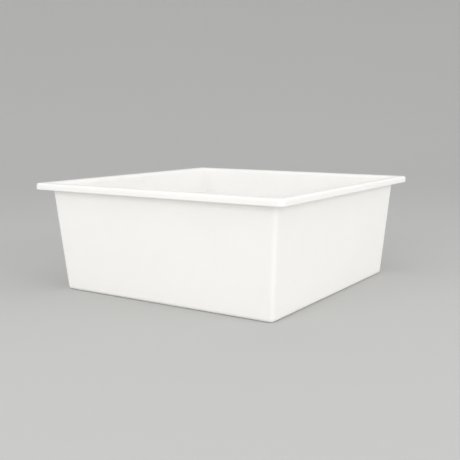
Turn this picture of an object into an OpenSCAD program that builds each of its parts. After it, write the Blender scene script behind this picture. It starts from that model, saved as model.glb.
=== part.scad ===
// Square mortar mixing tub: one moulding with a flat floor, four leaning walls and a turned-down rim.
// The origin is the middle of the underside, +Z is up and lengths are in millimetres.

/* [Overall] */
// Side of the square over the outside of the rim
rim_side = 790; // [500:5:1100]
// Height from the underside of the floor to the top of the rim
tub_h = 305; // [180:1:450]
// Lean of each wall away from upright, in degrees
draft = 4.5; // [2:0.1:10]

/* [Walls and floor] */
// Thickness of the walls, measured level
wall_t = 4; // [3:0.1:6]
// Thickness of the floor
floor_t = 5; // [3:0.1:8]

/* [Rim] */
// How far the rim stands out past the top of the walls
rim_out = 32; // [20:0.5:50]
// Thickness of the level part of the rim
flange_t = 4; // [3:0.1:6]
// Height of the rim's outer face, from its lower edge to the top of the tub
skirt_h = 17.5; // [12:0.5:30]
// Thickness of the turned-down skirt at the edge of the rim
skirt_t = 3.6; // [3:0.1:5]

/* [Corners and edges] */
// Radius of the rim's corners seen from above, outside
rim_corner_r = 14; // [12:1:40]
// Radius of the walls' corners seen from above, outside
wall_corner_r = 12; // [8:1:60]
// Radius of the edge between the walls and the underside
base_edge_r = 10; // [8:0.5:14]
// Radius of the roll from the top of the rim down into the tub
roll_r = 10; // [7:0.5:14]
// Radius of the edge between the top and the outer face of the rim
rim_edge_r = 6; // [2:0.5:8]
// Radius inside the angle between the rim and its skirt
skirt_angle_r = 2.5; // [0.5:0.5:3]
// Radius of the two edges along the bottom of the skirt
lip_edge_r = 1.2; // [0.5:0.1:1.5]

/* [Hidden] */

// Flat steps in a quarter turn: of a corner seen from above, of a bend, and of a small edge
corner_steps = 10;
bend_steps = 6;
edge_steps = 3;

// Half widths of the square at the rim's outer face and at the outside of the walls' tops
rim_half = rim_side / 2;
wall_half = rim_half - rim_out;
// Heights of the flange's underside and of the skirt's lower edge
flange_z = tub_h - flange_t;
lip_z = tub_h - skirt_h;
// Half width at the skirt's inner face
skirt_half = rim_half - skirt_t;
// Corners seen from above never get sharper than this where a bend draws their rings inwards
least_corner_r = 1;
// The inner bends share their centres with the outer ones, so the wall keeps its thickness round them
floor_edge_r = base_edge_r - wall_t;
under_rim_r = roll_r - wall_t;

// Half width at the outside of the walls at height z
function wall_at(z) = wall_half - (flange_z - z) * tan(draft);

// Middle of a bend of radius r at height z, where it meets a wall face that lies depth inside the outer
// one: side is 1 for a bend about a point on the tub's side of that face, -1 for one beyond it
function bend_x(z, r, depth, side) = wall_at(z - side * r * sin(draft)) - depth - side * r * cos(draft);

// Section points [half width, height] round a bend, from one angle to another
function bend(x, z, r, from, to, steps) =
    [for (i = [0:steps]) let (t = from + (to - from) * i / steps) [x + r * cos(t), z + r * sin(t)]];

// Turn section points into rings [half width, corner radius, height]. The corner radius changes
// with the distance from the outer face of the wall or the rim, so that all corners stay concentric.
function wall_rings(points) =
    [for (p = points) [p[0], max(least_corner_r, wall_corner_r + p[0] - wall_at(p[1])), p[1]]];
function rim_rings(points) =
    [for (p = points) [p[0], max(least_corner_r, rim_corner_r + p[0] - rim_half), p[1]]];

// Half of the tub's section, from the underside up the outside, over the rim and down to the floor
rings = concat(
    // underside to outer wall face
    wall_rings(bend(bend_x(base_edge_r, base_edge_r, 0, 1), base_edge_r,
        base_edge_r, -90, -draft, bend_steps)),
    // outer wall face to the underside of the rim
    wall_rings(bend(bend_x(flange_z - under_rim_r, under_rim_r, 0, -1), flange_z - under_rim_r,
        under_rim_r, 180 - draft, 90, bend_steps)),
    // underside of the rim to the skirt's inner face
    rim_rings(bend(skirt_half - skirt_angle_r, flange_z - skirt_angle_r, skirt_angle_r, 90, 0, edge_steps)),
    // round the bottom of the skirt
    rim_rings(bend(skirt_half + lip_edge_r, lip_z + lip_edge_r, lip_edge_r, 180, 270, edge_steps)),
    rim_rings(bend(rim_half - lip_edge_r, lip_z + lip_edge_r, lip_edge_r, 270, 360, edge_steps)),
    // outer face to the top of the rim
    rim_rings(bend(rim_half - rim_edge_r, tub_h - rim_edge_r, rim_edge_r, 0, 90, bend_steps)),
    // top of the rim to inner wall face
    wall_rings(bend(bend_x(tub_h - roll_r, roll_r, wall_t, -1), tub_h - roll_r,
        roll_r, 90, 180 - draft, bend_steps)),
    // inner wall face to floor
    wall_rings(bend(bend_x(floor_t + floor_edge_r, floor_edge_r, wall_t, 1), floor_t + floor_edge_r,
        floor_edge_r, -draft, -90, bend_steps))
);

// Points of a ring, anticlockwise seen from above: a square with rounded corners
function ring_points(ring) =
    let (centre = (ring[0] - ring[1]) * sqrt(2))
    [for (corner = [0:3], i = [0:corner_steps])
        let (t = 90 * (corner + i / corner_steps), diagonal = 90 * corner + 45)
        [centre * cos(diagonal) + ring[1] * cos(t), centre * sin(diagonal) + ring[1] * sin(t), ring[2]]];

// A closed skin through a stack of rings, with a flat face across the first one and the last one
module loft(stack) {
    count = 4 * (corner_steps + 1);
    last = len(stack) - 1;
    sides = [for (r = [0:last - 1], i = [0:count - 1]) let (j = (i + 1) % count)
        [r * count + i, (r + 1) * count + i, (r + 1) * count + j, r * count + j]];
    underside = [for (i = [0:count - 1]) i];
    floor_top = [for (i = [count - 1:-1:0]) last * count + i];
    polyhedron(
        points = [for (ring = stack) each ring_points(ring)],
        faces = concat([underside], sides, [floor_top])
    );
}

module tub() {
    color("#f4f3ef") loft(rings);
}

tub();
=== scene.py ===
"""Square mortar mixing tub: its visible shell, its finish and a plain studio round it.

The shell is one moulding, so it is one piece. A Geometry Nodes tree draws half of the tub's section,
rounds its bends and sweeps it round a square with rounded corners. All lengths are in metres, with the
origin in the middle of the underside and +Z up.
"""

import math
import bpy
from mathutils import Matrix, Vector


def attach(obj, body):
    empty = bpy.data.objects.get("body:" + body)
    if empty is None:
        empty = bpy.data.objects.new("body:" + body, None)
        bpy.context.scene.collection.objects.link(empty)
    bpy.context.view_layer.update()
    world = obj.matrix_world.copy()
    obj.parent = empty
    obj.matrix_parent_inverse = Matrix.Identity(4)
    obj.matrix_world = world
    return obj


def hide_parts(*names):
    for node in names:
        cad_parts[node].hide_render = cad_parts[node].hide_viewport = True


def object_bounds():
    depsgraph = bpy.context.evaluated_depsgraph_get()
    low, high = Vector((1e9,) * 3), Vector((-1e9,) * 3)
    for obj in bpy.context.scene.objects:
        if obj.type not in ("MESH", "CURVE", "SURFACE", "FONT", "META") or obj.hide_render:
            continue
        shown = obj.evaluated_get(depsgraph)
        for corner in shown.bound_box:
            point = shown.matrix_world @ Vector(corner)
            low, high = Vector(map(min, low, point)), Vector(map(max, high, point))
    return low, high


bl_info = {
    "name": "Mortar Mixing Tub",
    "version": (1, 0, 0),
    "blender": (4, 5, 0),
    "location": "View3D > Sidebar > Mixing Tub",
    "description": "Builds a square moulded mixing tub and a studio to look at it in",
    "category": "Object",
}

import bmesh
import bpy
from mathutils import Vector

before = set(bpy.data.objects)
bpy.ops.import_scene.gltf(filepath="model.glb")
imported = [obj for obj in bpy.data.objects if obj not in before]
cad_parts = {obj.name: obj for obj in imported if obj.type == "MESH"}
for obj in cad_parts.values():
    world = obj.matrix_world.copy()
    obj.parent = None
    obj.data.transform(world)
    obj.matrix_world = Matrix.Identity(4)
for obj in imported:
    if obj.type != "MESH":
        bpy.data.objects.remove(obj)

FRAME_LOW, FRAME_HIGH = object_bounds()
TUB_NODE = "tub"
TUB_BODY = "root"


# ---------------------------------------------------------------- settings


def length(name, description, default):
    return bpy.props.FloatProperty(
        name=name, description=description, default=default, min=0.0, precision=4, unit="LENGTH"
    )


def angle(name, description, degrees):
    return bpy.props.FloatProperty(
        name=name, description=description, default=math.radians(degrees), subtype="ANGLE"
    )


def colour(name, description, default):
    return bpy.props.FloatVectorProperty(
        name=name, description=description, default=default, min=0.0, max=1.0, size=3, subtype="COLOR"
    )


def number(name, description, default):
    return bpy.props.FloatProperty(name=name, description=description, default=default, min=0.0)


class TubSizes(bpy.types.PropertyGroup):
    """Sizes of the moulding. The two overall ones come from the frame."""

    rim_side: length("Rim side", "Side of the square over the rim", FRAME_HIGH.x - FRAME_LOW.x)
    height: length("Height", "Underside to the top of the rim", FRAME_HIGH.z - FRAME_LOW.z)
    draft: angle("Draft", "Lean of each wall away from upright", 4.5)
    wall: length("Wall", "Thickness of the walls, measured level", 0.004)
    floor: length("Floor", "Thickness of the floor", 0.005)
    rim_out: length("Rim overhang", "How far the rim stands out past the walls", 0.032)
    flange: length("Rim thickness", "Thickness of the level part of the rim", 0.004)
    skirt_height: length("Skirt height", "Height of the rim's outer face", 0.0175)
    skirt: length("Skirt thickness", "Thickness of the rim's turned-down skirt", 0.0036)
    rim_corner: length("Rim corner radius", "Seen from above, outside", 0.014)
    wall_corner: length("Wall corner radius", "Seen from above, outside", 0.012)
    base_edge: length("Base edge radius", "Between the walls and the underside", 0.010)
    roll: length("Roll radius", "From the top of the rim down into the tub", 0.010)
    rim_edge: length("Rim edge radius", "Between the top and the outer face of the rim", 0.006)
    skirt_angle: length("Skirt angle radius", "In the angle between the rim and its skirt", 0.0025)
    lip_edge: length("Lip edge radius", "Along the bottom of the skirt", 0.0012)
    grid: length("Grid spacing", "Widest gap between points along the flat faces", 0.016)
    warp: length("Warp", "Most that the faces wander inwards as the moulding cools", 0.0006)
    crown: length("Crown", "How far the middle of the floor arches up", 0.0012)


class TubFinish(bpy.types.PropertyGroup):
    """Colours and surface of the plastic."""

    plastic: colour("Plastic", "Clean polyethylene", (0.905, 0.900, 0.883))
    cloud: colour("Cloud", "Milkier patches in the plastic", (0.915, 0.911, 0.898))
    scuff: colour("Scuff", "Rub marks where the tub is dragged", (0.56, 0.545, 0.52))
    roughness: number("Roughness", "Of the clean satin surface", 0.5)


class StudioSettings(bpy.types.PropertyGroup):
    """Backdrop, light and camera."""

    backdrop: colour("Backdrop", "Colour of the floor and the wall it sweeps up into", (0.56, 0.56, 0.55))
    floor_reach: length("Floor reach", "Radius of the flat part of the floor", 2.6)
    sweep_out: length("Sweep reach", "How far out the floor goes on as it rises", 5.4)
    sweep_up: length("Sweep height", "How high the floor has risen at its outer edge", 3.4)
    room: number("Room light", "Strength of the even light from all round", 0.84)
    key: number("Key light", "Power of the large soft light in front, in watts", 23.5)
    side: number("Side light", "Power of the soft light on the right, in watts", 23.5)
    camera_place: bpy.props.FloatVectorProperty(
        name="Camera place", description="Where the camera stands", default=(1.160, -1.751, 0.476),
        size=3, subtype="TRANSLATION",
    )
    camera_turn: angle("Camera turn", "How far the camera is turned left of straight ahead", 31.97)
    camera_tilt: angle("Camera tilt", "How far the camera looks down", 9.11)
    lens: number("Lens", "Focal length in millimetres on a 36 mm sensor", 55.75)
    shift: bpy.props.FloatVectorProperty(
        name="Shift", description="Small shift that frames the tub", default=(-0.0454, 0.0102), size=2
    )


# ---------------------------------------------------------------- node tree helpers

# Where new nodes are laid out in the editor
NODE_STEP_X = 180
NODE_STEP_Y = 170
NODES_PER_COLUMN = 8
OUTPUT_X = 3000


class Term:
    """A node's output that can be used in sums: each operation adds one Math node to its net."""

    def __init__(self, net, socket):
        self.net = net
        self.socket = socket

    def __add__(self, other):
        return self.net.math("ADD", self, other)

    def __sub__(self, other):
        return self.net.math("SUBTRACT", self, other)

    def __rsub__(self, other):
        return self.net.math("SUBTRACT", other, self)

    def __mul__(self, other):
        return self.net.math("MULTIPLY", self, other)

    def __truediv__(self, other):
        return self.net.math("DIVIDE", self, other)

    __radd__ = __add__


class Net:
    """Adds nodes to a node tree and links what they are given to their inputs."""

    def __init__(self, tree):
        self.tree = tree
        self.count = 0

    def add(self, kind, *values, out=0, settings=(), **named):
        """A new node's output, as a Term. Values go to the usable inputs in order, named ones by name."""
        node = self.tree.nodes.new(kind)
        column, row = divmod(self.count, NODES_PER_COLUMN)
        node.location = (NODE_STEP_X * column, -NODE_STEP_Y * row)
        self.count += 1
        for name, value in dict(settings).items():
            setattr(node, name, value)
        usable = [socket for socket in node.inputs if socket.enabled]
        for socket, value in zip(usable, values):
            self.feed(socket, value)
        for name, value in named.items():
            label = name.replace("_", " ")
            self.feed(next(s for s in usable if s.name.lower() == label), value)
        outputs = [socket for socket in node.outputs if socket.enabled]
        return Term(self, outputs[out] if isinstance(out, int) else node.outputs[out])

    def feed(self, socket, value):
        if isinstance(value, Term):
            self.tree.links.new(value.socket, socket)
        elif value is not None:
            socket.default_value = value

    def math(self, operation, *values):
        return self.add("ShaderNodeMath", *values, settings={"operation": operation})


class ShapeNet(Net):
    """A Geometry Nodes tree with named inputs."""

    def __init__(self, name):
        tree = bpy.data.node_groups.new(name, "GeometryNodeTree")
        tree.is_modifier = True
        super().__init__(tree)
        tree.interface.new_socket("Geometry", in_out="INPUT", socket_type="NodeSocketGeometry")
        tree.interface.new_socket("Geometry", in_out="OUTPUT", socket_type="NodeSocketGeometry")
        self.group_in = tree.nodes.new("NodeGroupInput")
        self.group_out = tree.nodes.new("NodeGroupOutput")
        self.group_out.location = (OUTPUT_X, 0)

    def input(self, name, kind="NodeSocketFloat"):
        self.tree.interface.new_socket(name, in_out="INPUT", socket_type=kind)
        return Term(self, self.group_in.outputs[name])

    def finish(self, geometry):
        self.feed(self.group_out.inputs["Geometry"], geometry)

    def switch(self, kind, values):
        """A field that takes the value whose place in the list is the point's index."""
        node = self.tree.nodes.new("GeometryNodeIndexSwitch")
        node.data_type = kind
        while len(node.index_switch_items) < len(values):
            node.index_switch_items.new()
        self.feed(node.inputs["Index"], self.add("GeometryNodeInputIndex"))
        for place, value in enumerate(values):
            self.feed(node.inputs[str(place)], value)
        return Term(self, node.outputs[0])


class PaintNet(Net):
    """A material's node tree."""

    def __init__(self, name):
        self.material = bpy.data.materials.new(name)
        self.material.use_nodes = True
        super().__init__(self.material.node_tree)
        self.shader = self.tree.nodes["Principled BSDF"]
        self.place = self.add("ShaderNodeTexCoord", out="Object")

    def noise(self, scale, detail, roughness=0.5, place=None, distortion=0.0):
        """Soft noise between 0 and 1. The scale is in waves per metre, before any squeeze of the place."""
        return self.add(
            "ShaderNodeTexNoise", place or self.place, scale=scale, detail=detail,
            roughness=roughness, distortion=distortion,
        )

    def span(self, value, low, high):
        """The value's run from low to high, stretched smoothly over 0 to 1 and held at its ends."""
        settings = {"interpolation_type": "SMOOTHSTEP"}
        return self.add("ShaderNodeMapRange", value, low, high, 0.0, 1.0, settings=settings)

    def mix(self, share, first, second):
        settings = {"data_type": "RGBA"}
        return self.add("ShaderNodeMix", share, first, second, settings=settings)

    def attribute(self, name):
        return self.add("ShaderNodeAttribute", out="Fac", settings={"attribute_name": name})


# ---------------------------------------------------------------- the tub's shell

QUARTER_TURN = math.pi / 2

# Steps round each corner of the square, and round each bend of the section
CORNER_STEPS = 14
BEND_STEPS = 8

# Smallest corner seen from above, and how close points are before they are joined
LEAST_CORNER = 0.001
WELD = 0.00002

# The noise by which the faces wander
WANDER_SCALE = 3.0
WANDER_DETAIL = 2.0
WANDER_SEED = 4.0

# How far up wear reaches, in radii of the base edge and of the edge along the skirt's foot
BASE_WEAR_REACH = 1.2
FOOT_WEAR_REACH = 3


def shell_net(names):
    """The tree that draws half of the tub's section and sweeps it round the square."""
    net = ShapeNet("Mixing tub shell")
    size = {name: net.input(label) for name, label in names.items()}
    seed = net.input("Seed")
    material = net.input("Material", "NodeSocketMaterial")

    # Half widths, heights and the lean of the walls
    lean = net.math("TANGENT", size["draft"])
    rim_half = size["rim_side"] / 2
    wall_half = rim_half - size["rim_out"]
    skirt_half = rim_half - size["skirt"]
    flange_z = size["height"] - size["flange"]
    lip_z = size["height"] - size["skirt_height"]
    under_rim = size["roll"] - size["wall"]
    floor_edge = size["base_edge"] - size["wall"]

    def wall_at(z):
        return wall_half - (flange_z - z) * lean

    # Half of the section with sharp bends: underside, outside, rim, inside, floor
    corners = [
        (0.0, 0.0, 0.0),
        (wall_at(0.0), 0.0, size["base_edge"]),
        (wall_at(flange_z), flange_z, under_rim),
        (skirt_half, flange_z, size["skirt_angle"]),
        (skirt_half, lip_z, size["lip_edge"]),
        (rim_half, lip_z, size["lip_edge"]),
        (rim_half, size["height"], size["rim_edge"]),
        (wall_at(size["height"]) - size["wall"], size["height"], size["roll"]),
        (wall_at(size["floor"]) - size["wall"], size["floor"], floor_edge),
        (0.0, size["floor"], 0.0),
    ]
    points = [net.add("ShaderNodeCombineXYZ", x, 0.0, z) for x, z, _ in corners]
    line = net.add("GeometryNodeMeshLine", len(corners))
    line = net.add("GeometryNodeSetPosition", line, position=net.switch("VECTOR", points))
    section = net.add("GeometryNodeMeshToCurve", line)
    section = net.add(
        "GeometryNodeFilletCurve", section, settings={"mode": "POLY"}, count=BEND_STEPS,
        radius=net.switch("FLOAT", [radius for _, _, radius in corners]),
    )

    # Points along the flat stretches too, so that they can wander a little
    here = net.add("GeometryNodeInputPosition")
    index = net.add("GeometryNodeInputIndex")
    following = net.add("GeometryNodeFieldAtIndex", here, index + 1, settings={"data_type": "FLOAT_VECTOR"})
    stretch = net.add("ShaderNodeVectorMath", here, following, settings={"operation": "DISTANCE"})
    cuts = net.math("FLOOR", stretch / size["grid"])
    section = net.add("GeometryNodeSubdivideCurve", section, cuts)

    # A grid with a row for each point of the section and a column for each step round the square
    rows = net.add("GeometryNodeAttributeDomainSize", section, settings={"component": "CURVE"})
    side_steps = net.math("CEIL", size["rim_side"] / size["grid"])
    quarter = side_steps + CORNER_STEPS
    columns = quarter * 4 + 1
    grid = net.add("GeometryNodeMeshGrid", 1.0, 1.0, rows, columns)
    row = net.math("FLOOR", (index + 0.5) / columns)
    column = index - row * columns
    on_section = net.add(
        "GeometryNodeSampleIndex", section, here, row, settings={"data_type": "FLOAT_VECTOR"}
    )
    x = net.add("ShaderNodeSeparateXYZ", on_section, out=0)
    z = net.add("ShaderNodeSeparateXYZ", on_section, out=2)

    # Corner radius of each row: concentric with the walls' corners, then with the rim's
    by_wall = size["wall_corner"] + x - wall_at(z)
    by_rim = size["rim_corner"] + x - rim_half
    outward = net.add(
        "ShaderNodeMapRange", x, wall_half + under_rim, skirt_half - size["skirt_angle"], 0.0, 1.0
    )
    radius = by_wall + outward * (by_rim - by_wall)
    radius = net.math("MINIMUM", net.math("MAXIMUM", radius, LEAST_CORNER), x)

    # Each quarter is a corner arc and then a straight side, turned into its place
    turn = net.math("FLOOR", (column + 0.5) / quarter)
    step = column - turn * quarter
    bend = net.math("MINIMUM", step / CORNER_STEPS, 1.0) * QUARTER_TURN
    along = net.math("MAXIMUM", (step - CORNER_STEPS) / side_steps, 0.0)
    centre = x - radius
    quarter_point = net.add(
        "ShaderNodeCombineXYZ",
        centre * (1 - along * 2) + radius * net.math("COSINE", bend),
        centre + radius * net.math("SINE", bend),
        z,
    )
    ring_point = net.add(
        "ShaderNodeVectorRotate", quarter_point, angle=turn * QUARTER_TURN,
        settings={"rotation_type": "Z_AXIS"},
    )

    # How the moulding strays from its drawing: faces wander inwards, the floor arches up a little
    wander = net.add(
        "ShaderNodeTexNoise", ring_point, w=seed, scale=WANDER_SCALE, detail=WANDER_DETAIL,
        settings={"noise_dimensions": "4D"},
    )
    shrink = 1 - size["warp"] * wander / rim_half
    across = x / (wall_at(0.0) - size["base_edge"])
    arch = size["crown"] * net.math("MAXIMUM", 1 - across * across, 0.0)
    sag = size["warp"] * wander * (z / size["height"])
    strayed = net.add(
        "ShaderNodeCombineXYZ",
        net.add("ShaderNodeSeparateXYZ", ring_point, out=0) * shrink,
        net.add("ShaderNodeSeparateXYZ", ring_point, out=1) * shrink,
        z + arch - sag,
    )
    shell = net.add("GeometryNodeSetPosition", grid, position=strayed)

    # Where the finish wears: the underside and its edge, the foot of the rim's skirt, and the inside
    base_wear = net.add("ShaderNodeMapRange", z, size["base_edge"] * BASE_WEAR_REACH, 0.0, 0.0, 1.0)
    outside = net.math("GREATER_THAN", x, wall_at(z) - size["wall"] / 2)
    underside = net.math("LESS_THAN", z, size["floor"] / 2)
    foot_top = lip_z + size["lip_edge"] * FOOT_WEAR_REACH
    foot_wear = net.add("ShaderNodeMapRange", z, foot_top, lip_z, 0.0, 1.0)
    on_skirt = net.math("GREATER_THAN", x, skirt_half - size["skirt_angle"])
    outer = net.math("MAXIMUM", outside, underside)
    wear = net.math("MAXIMUM", base_wear * outer, foot_wear * on_skirt)
    inside = 1 - outer
    for name, value in (("wear", wear), ("inside", inside)):
        shell = net.add(
            "GeometryNodeStoreNamedAttribute", shell, None, name, value,
            settings={"data_type": "FLOAT", "domain": "POINT"},
        )

    shell = net.add("GeometryNodeMergeByDistance", shell, distance=WELD)
    shell = net.add("GeometryNodeFlipFaces", shell)
    shell = net.add("GeometryNodeSetShadeSmooth", shell)
    shell = net.add("GeometryNodeRealizeInstances", shell)
    net.finish(net.add("GeometryNodeSetMaterial", shell, material=material))
    return net.tree


def run_tree(name, tree, inputs):
    """A plain mesh object made by a Geometry Nodes tree from inputs given by name."""
    maker = bpy.data.objects.new(name + "_maker", bpy.data.meshes.new(name + "_maker"))
    bpy.context.scene.collection.objects.link(maker)
    modifier = maker.modifiers.new("Make", "NODES")
    modifier.node_group = tree
    identifiers = {
        item.name: item.identifier for item in tree.interface.items_tree if item.in_out == "INPUT"
    }
    for label, value in inputs.items():
        modifier[identifiers[label]] = value
    depsgraph = bpy.context.evaluated_depsgraph_get()
    mesh = bpy.data.meshes.new_from_object(maker.evaluated_get(depsgraph), depsgraph=depsgraph)
    bpy.data.objects.remove(maker)
    mesh.name = name
    piece = bpy.data.objects.new(name, mesh)
    bpy.context.scene.collection.objects.link(piece)
    return piece


# ---------------------------------------------------------------- the plastic

# How the plastic carries light. The depths are in metres, for red, green and blue.
PLASTIC_IOR = 1.51
MILKINESS = 0.75
MILKY_DEPTHS = (0.0030, 0.0028, 0.0025)

# Rub marks: how their noise is squeezed along X, Y and Z, and how much they colour and roughen
STREAK_SCALE = (9.0, 9.0, 160.0)
RUB_COLOURS = 0.55
RUB_ROUGHENS = 0.25

# Hairlines: how their noise is squeezed along X, Y and Z, its two turns, and how much they show
HAIRLINE_SCALE = (260.0, 4.0, 40.0)
HAIRLINE_TURNS = (math.radians(24), math.radians(-51))
HAIRLINE_COLOURS = 0.14
HAIRLINE_ROUGHENS = 0.12
HAIRLINE_CUTS = 0.6

# The even surface: how much haze roughens it, and its fine and coarse moulded grain
HAZE_ROUGHENS = 0.16
FINE_GRAIN = 0.5
COARSE_GRAIN = 1.2
GRAIN_STRENGTH = 0.35
GRAIN_DEPTH = 0.0002


def polyethylene(finish):
    """White polyethylene: milky and satin, finely grained, rubbed along its edges and scratched inside."""
    net = PaintNet("White polyethylene")
    cloud = net.span(net.noise(scale=6.0, detail=3.0, roughness=0.55), 0.35, 0.7)
    colour = net.mix(cloud, (*finish.plastic, 1), (*finish.cloud, 1))

    # Rub marks: long level streaks, broken up by patches, only where the shell is marked as worn
    streak_place = net.add("ShaderNodeMapping", net.place, scale=STREAK_SCALE)
    streaks = net.span(net.noise(scale=5.0, detail=6.0, roughness=0.65, place=streak_place), 0.52, 0.7)
    patches = net.span(net.noise(scale=14.0, detail=4.0, roughness=0.6), 0.45, 0.72)
    rubbed = net.attribute("wear") * streaks * patches
    colour = net.mix(rubbed * RUB_COLOURS, colour, (*finish.scuff, 1))

    # Hairline marks inside, long and thin and running front to back. A Mapping node scales before it
    # turns, so each turn only reads another part of the noise and doesn't slant the lines.
    hairlines = 0.0
    for turn in HAIRLINE_TURNS:
        place = net.add("ShaderNodeMapping", net.place, rotation=(0, 0, turn), scale=HAIRLINE_SCALE)
        lines = net.span(net.noise(scale=1.0, detail=2.0, roughness=0.5, place=place), 0.62, 0.72)
        breaks = net.span(net.noise(scale=9.0, detail=3.0, roughness=0.5, distortion=turn), 0.5, 0.62)
        hairlines = lines * breaks + hairlines
    hairlines = net.math("MINIMUM", hairlines, 1.0) * net.attribute("inside")
    colour = net.mix(hairlines * HAIRLINE_COLOURS, colour, (*finish.scuff, 1))
    net.feed(net.shader.inputs["Base Color"], colour)

    haze = net.noise(scale=38.0, detail=4.0, roughness=0.6) - 0.5
    marks = rubbed * RUB_ROUGHENS
    scratches = hairlines * HAIRLINE_ROUGHENS
    net.feed(net.shader.inputs["Roughness"], finish.roughness + haze * HAZE_ROUGHENS + marks + scratches)

    fine = net.noise(scale=520.0, detail=2.0, roughness=0.5) * FINE_GRAIN
    coarse = net.noise(scale=110.0, detail=3.0, roughness=0.5) * COARSE_GRAIN
    height = fine + coarse - rubbed - hairlines * HAIRLINE_CUTS
    bump = net.add("ShaderNodeBump", strength=GRAIN_STRENGTH, distance=GRAIN_DEPTH, height=height)
    net.feed(net.shader.inputs["Normal"], bump)

    for name, value in (
        ("IOR", PLASTIC_IOR),
        ("Subsurface Weight", MILKINESS),
        ("Subsurface Radius", MILKY_DEPTHS),
        ("Subsurface Scale", 1.0),
    ):
        net.shader.inputs[name].default_value = value
    return net.material


# ---------------------------------------------------------------- operators


class MIXTUB_OT_shell(bpy.types.Operator):
    """Make the tub: floor, walls and turned-down rim in one moulding"""

    bl_idname = "mixtub.shell"
    bl_label = "Make Tub"

    def execute(self, context):
        sizes = context.scene.mixtub_sizes
        properties = TubSizes.bl_rna.properties
        names = {key: properties[key].name for key in TubSizes.__annotations__}
        inputs = {label: getattr(sizes, key) for key, label in names.items()}
        inputs["Seed"] = WANDER_SEED
        inputs["Material"] = polyethylene(context.scene.mixtub_finish)
        shell = run_tree("tub_shell", shell_net(names), inputs)
        if not shell.data.polygons:
            raise RuntimeError("the tub's tree made no faces")
        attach(shell, TUB_BODY)
        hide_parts(TUB_NODE)
        return {"FINISHED"}


# Steps along the floor's rise, and round it
SWEEP_STEPS = 32
ROUND_STEPS = 96

# Where each light stands, its width and height, and how far its light spreads
KEY_PLACE = (-0.1, -3.6, 1.15)
KEY_SIZE = (3.6, 2.0)
SIDE_PLACE = (3.75, 0.0, 1.15)
SIDE_SIZE = (3.2, 2.0)
LIGHT_SPREAD = math.radians(110)

BACKDROP_ROUGHNESS = 0.8
BACKDROP_SPECULAR = 0.2
BACKDROP_DARKEST = 0.97


def plain_backdrop(rgb):
    """A matt backdrop whose tone drifts very slightly."""
    net = PaintNet("Plain backdrop")
    tone = net.noise(scale=0.6, detail=2.0)
    darker = [channel * BACKDROP_DARKEST for channel in rgb]
    net.feed(net.shader.inputs["Base Color"], net.mix(tone, (*darker, 1), (*rgb, 1)))
    net.shader.inputs["Roughness"].default_value = BACKDROP_ROUGHNESS
    net.shader.inputs["Specular IOR Level"].default_value = BACKDROP_SPECULAR
    return net.material


def soft_light(name, place, size, power):
    """An oblong area light, pointed at the middle of the tub."""
    middle = Vector((0, 0, FRAME_HIGH.z / 2))
    data = bpy.data.lights.new(name, "AREA")
    data.shape = "RECTANGLE"
    data.size, data.size_y = size
    data.energy = power
    data.spread = LIGHT_SPREAD
    light = bpy.data.objects.new(name, data)
    light.location = place
    light.rotation_mode = "QUATERNION"
    light.rotation_quaternion = (middle - Vector(place)).to_track_quat("-Z", "Y")
    bpy.context.scene.collection.objects.link(light)


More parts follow.
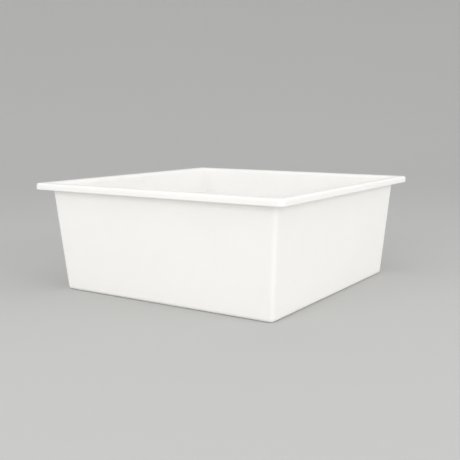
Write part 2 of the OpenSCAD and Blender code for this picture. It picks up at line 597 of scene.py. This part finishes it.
class MIXTUB_OT_studio(bpy.types.Operator):
    """Make the plain floor, the soft lights and the camera"""

    bl_idname = "mixtub.studio"
    bl_label = "Make Studio"

    def execute(self, context):
        studio = context.scene.mixtub_studio
        self.lay_floor(context, studio)
        self.light_room(context, studio)
        self.place_camera(context, studio)
        return {"FINISHED"}

    def lay_floor(self, context, studio):
        """A round floor that rises ever more steeply on every side, so that no horizon shows."""
        shares = [step / SWEEP_STEPS for step in range(SWEEP_STEPS + 1)]
        section = [(studio.floor_reach + studio.sweep_out * t, studio.sweep_up * t**3) for t in shares]
        turns = [2 * math.pi * step / ROUND_STEPS for step in range(ROUND_STEPS)]
        mesh = bpy.data.meshes.new("floor")
        shape = bmesh.new()
        ring = None
        for out, up in section:
            outer = [shape.verts.new((out * math.cos(t), out * math.sin(t), up)) for t in turns]
            if ring is None:
                shape.faces.new(outer)
            else:
                for i in range(ROUND_STEPS):
                    j = (i + 1) % ROUND_STEPS
                    shape.faces.new((ring[i], ring[j], outer[j], outer[i]))
            ring = outer
        for face in shape.faces:
            face.smooth = len(face.verts) == 4
        shape.to_mesh(mesh)
        shape.free()
        mesh.materials.append(plain_backdrop(studio.backdrop))
        floor = bpy.data.objects.new("floor", mesh)
        context.scene.collection.objects.link(floor)

    def light_room(self, context, studio):
        world = bpy.data.worlds.new("Even room light")
        world.use_nodes = True
        background = world.node_tree.nodes["Background"]
        background.inputs["Color"].default_value = (1.0, 1.0, 1.0, 1.0)
        background.inputs["Strength"].default_value = studio.room
        context.scene.world = world
        context.scene.view_settings.view_transform = "Standard"
        soft_light("key_light", KEY_PLACE, KEY_SIZE, studio.key)
        soft_light("side_light", SIDE_PLACE, SIDE_SIZE, studio.side)

    def place_camera(self, context, studio):
        data = bpy.data.cameras.new("camera")
        data.lens = studio.lens
        data.shift_x, data.shift_y = studio.shift
        camera = bpy.data.objects.new("camera", data)
        camera.location = studio.camera_place
        turn, tilt = studio.camera_turn, studio.camera_tilt
        level = math.cos(tilt)
        ahead = Vector((-math.sin(turn) * level, math.cos(turn) * level, -math.sin(tilt)))
        camera.rotation_mode = "QUATERNION"
        camera.rotation_quaternion = ahead.to_track_quat("-Z", "Y")
        context.scene.collection.objects.link(camera)
        context.scene.camera = camera


class MIXTUB_PT_panel(bpy.types.Panel):
    """Buttons and settings for the mixing tub"""

    bl_idname = "MIXTUB_PT_panel"
    bl_label = "Mixing Tub"
    bl_space_type = "VIEW_3D"
    bl_region_type = "UI"
    bl_category = "Mixing Tub"

    def draw(self, context):
        layout = self.layout
        for heading, group, kind, operator in (
            ("Sizes", context.scene.mixtub_sizes, TubSizes, None),
            ("Finish", context.scene.mixtub_finish, TubFinish, MIXTUB_OT_shell),
            ("Studio", context.scene.mixtub_studio, StudioSettings, MIXTUB_OT_studio),
        ):
            box = layout.box()
            box.label(text=heading)
            for name in kind.__annotations__:
                box.prop(group, name)
            if operator:
                box.operator(operator.bl_idname)


# ---------------------------------------------------------------- add-on

GROUPS = {"mixtub_sizes": TubSizes, "mixtub_finish": TubFinish, "mixtub_studio": StudioSettings}
CLASSES = (*GROUPS.values(), MIXTUB_OT_shell, MIXTUB_OT_studio, MIXTUB_PT_panel)


def register():
    for cls in CLASSES:
        bpy.utils.register_class(cls)
    for name, group in GROUPS.items():
        setattr(bpy.types.Scene, name, bpy.props.PointerProperty(type=group))


def unregister():
    for name in GROUPS:
        delattr(bpy.types.Scene, name)
    for cls in reversed(CLASSES):
        bpy.utils.unregister_class(cls)


def main():
    register()
    bpy.ops.mixtub.studio()
    bpy.ops.mixtub.shell()


if __name__ == "__main__":
    main()
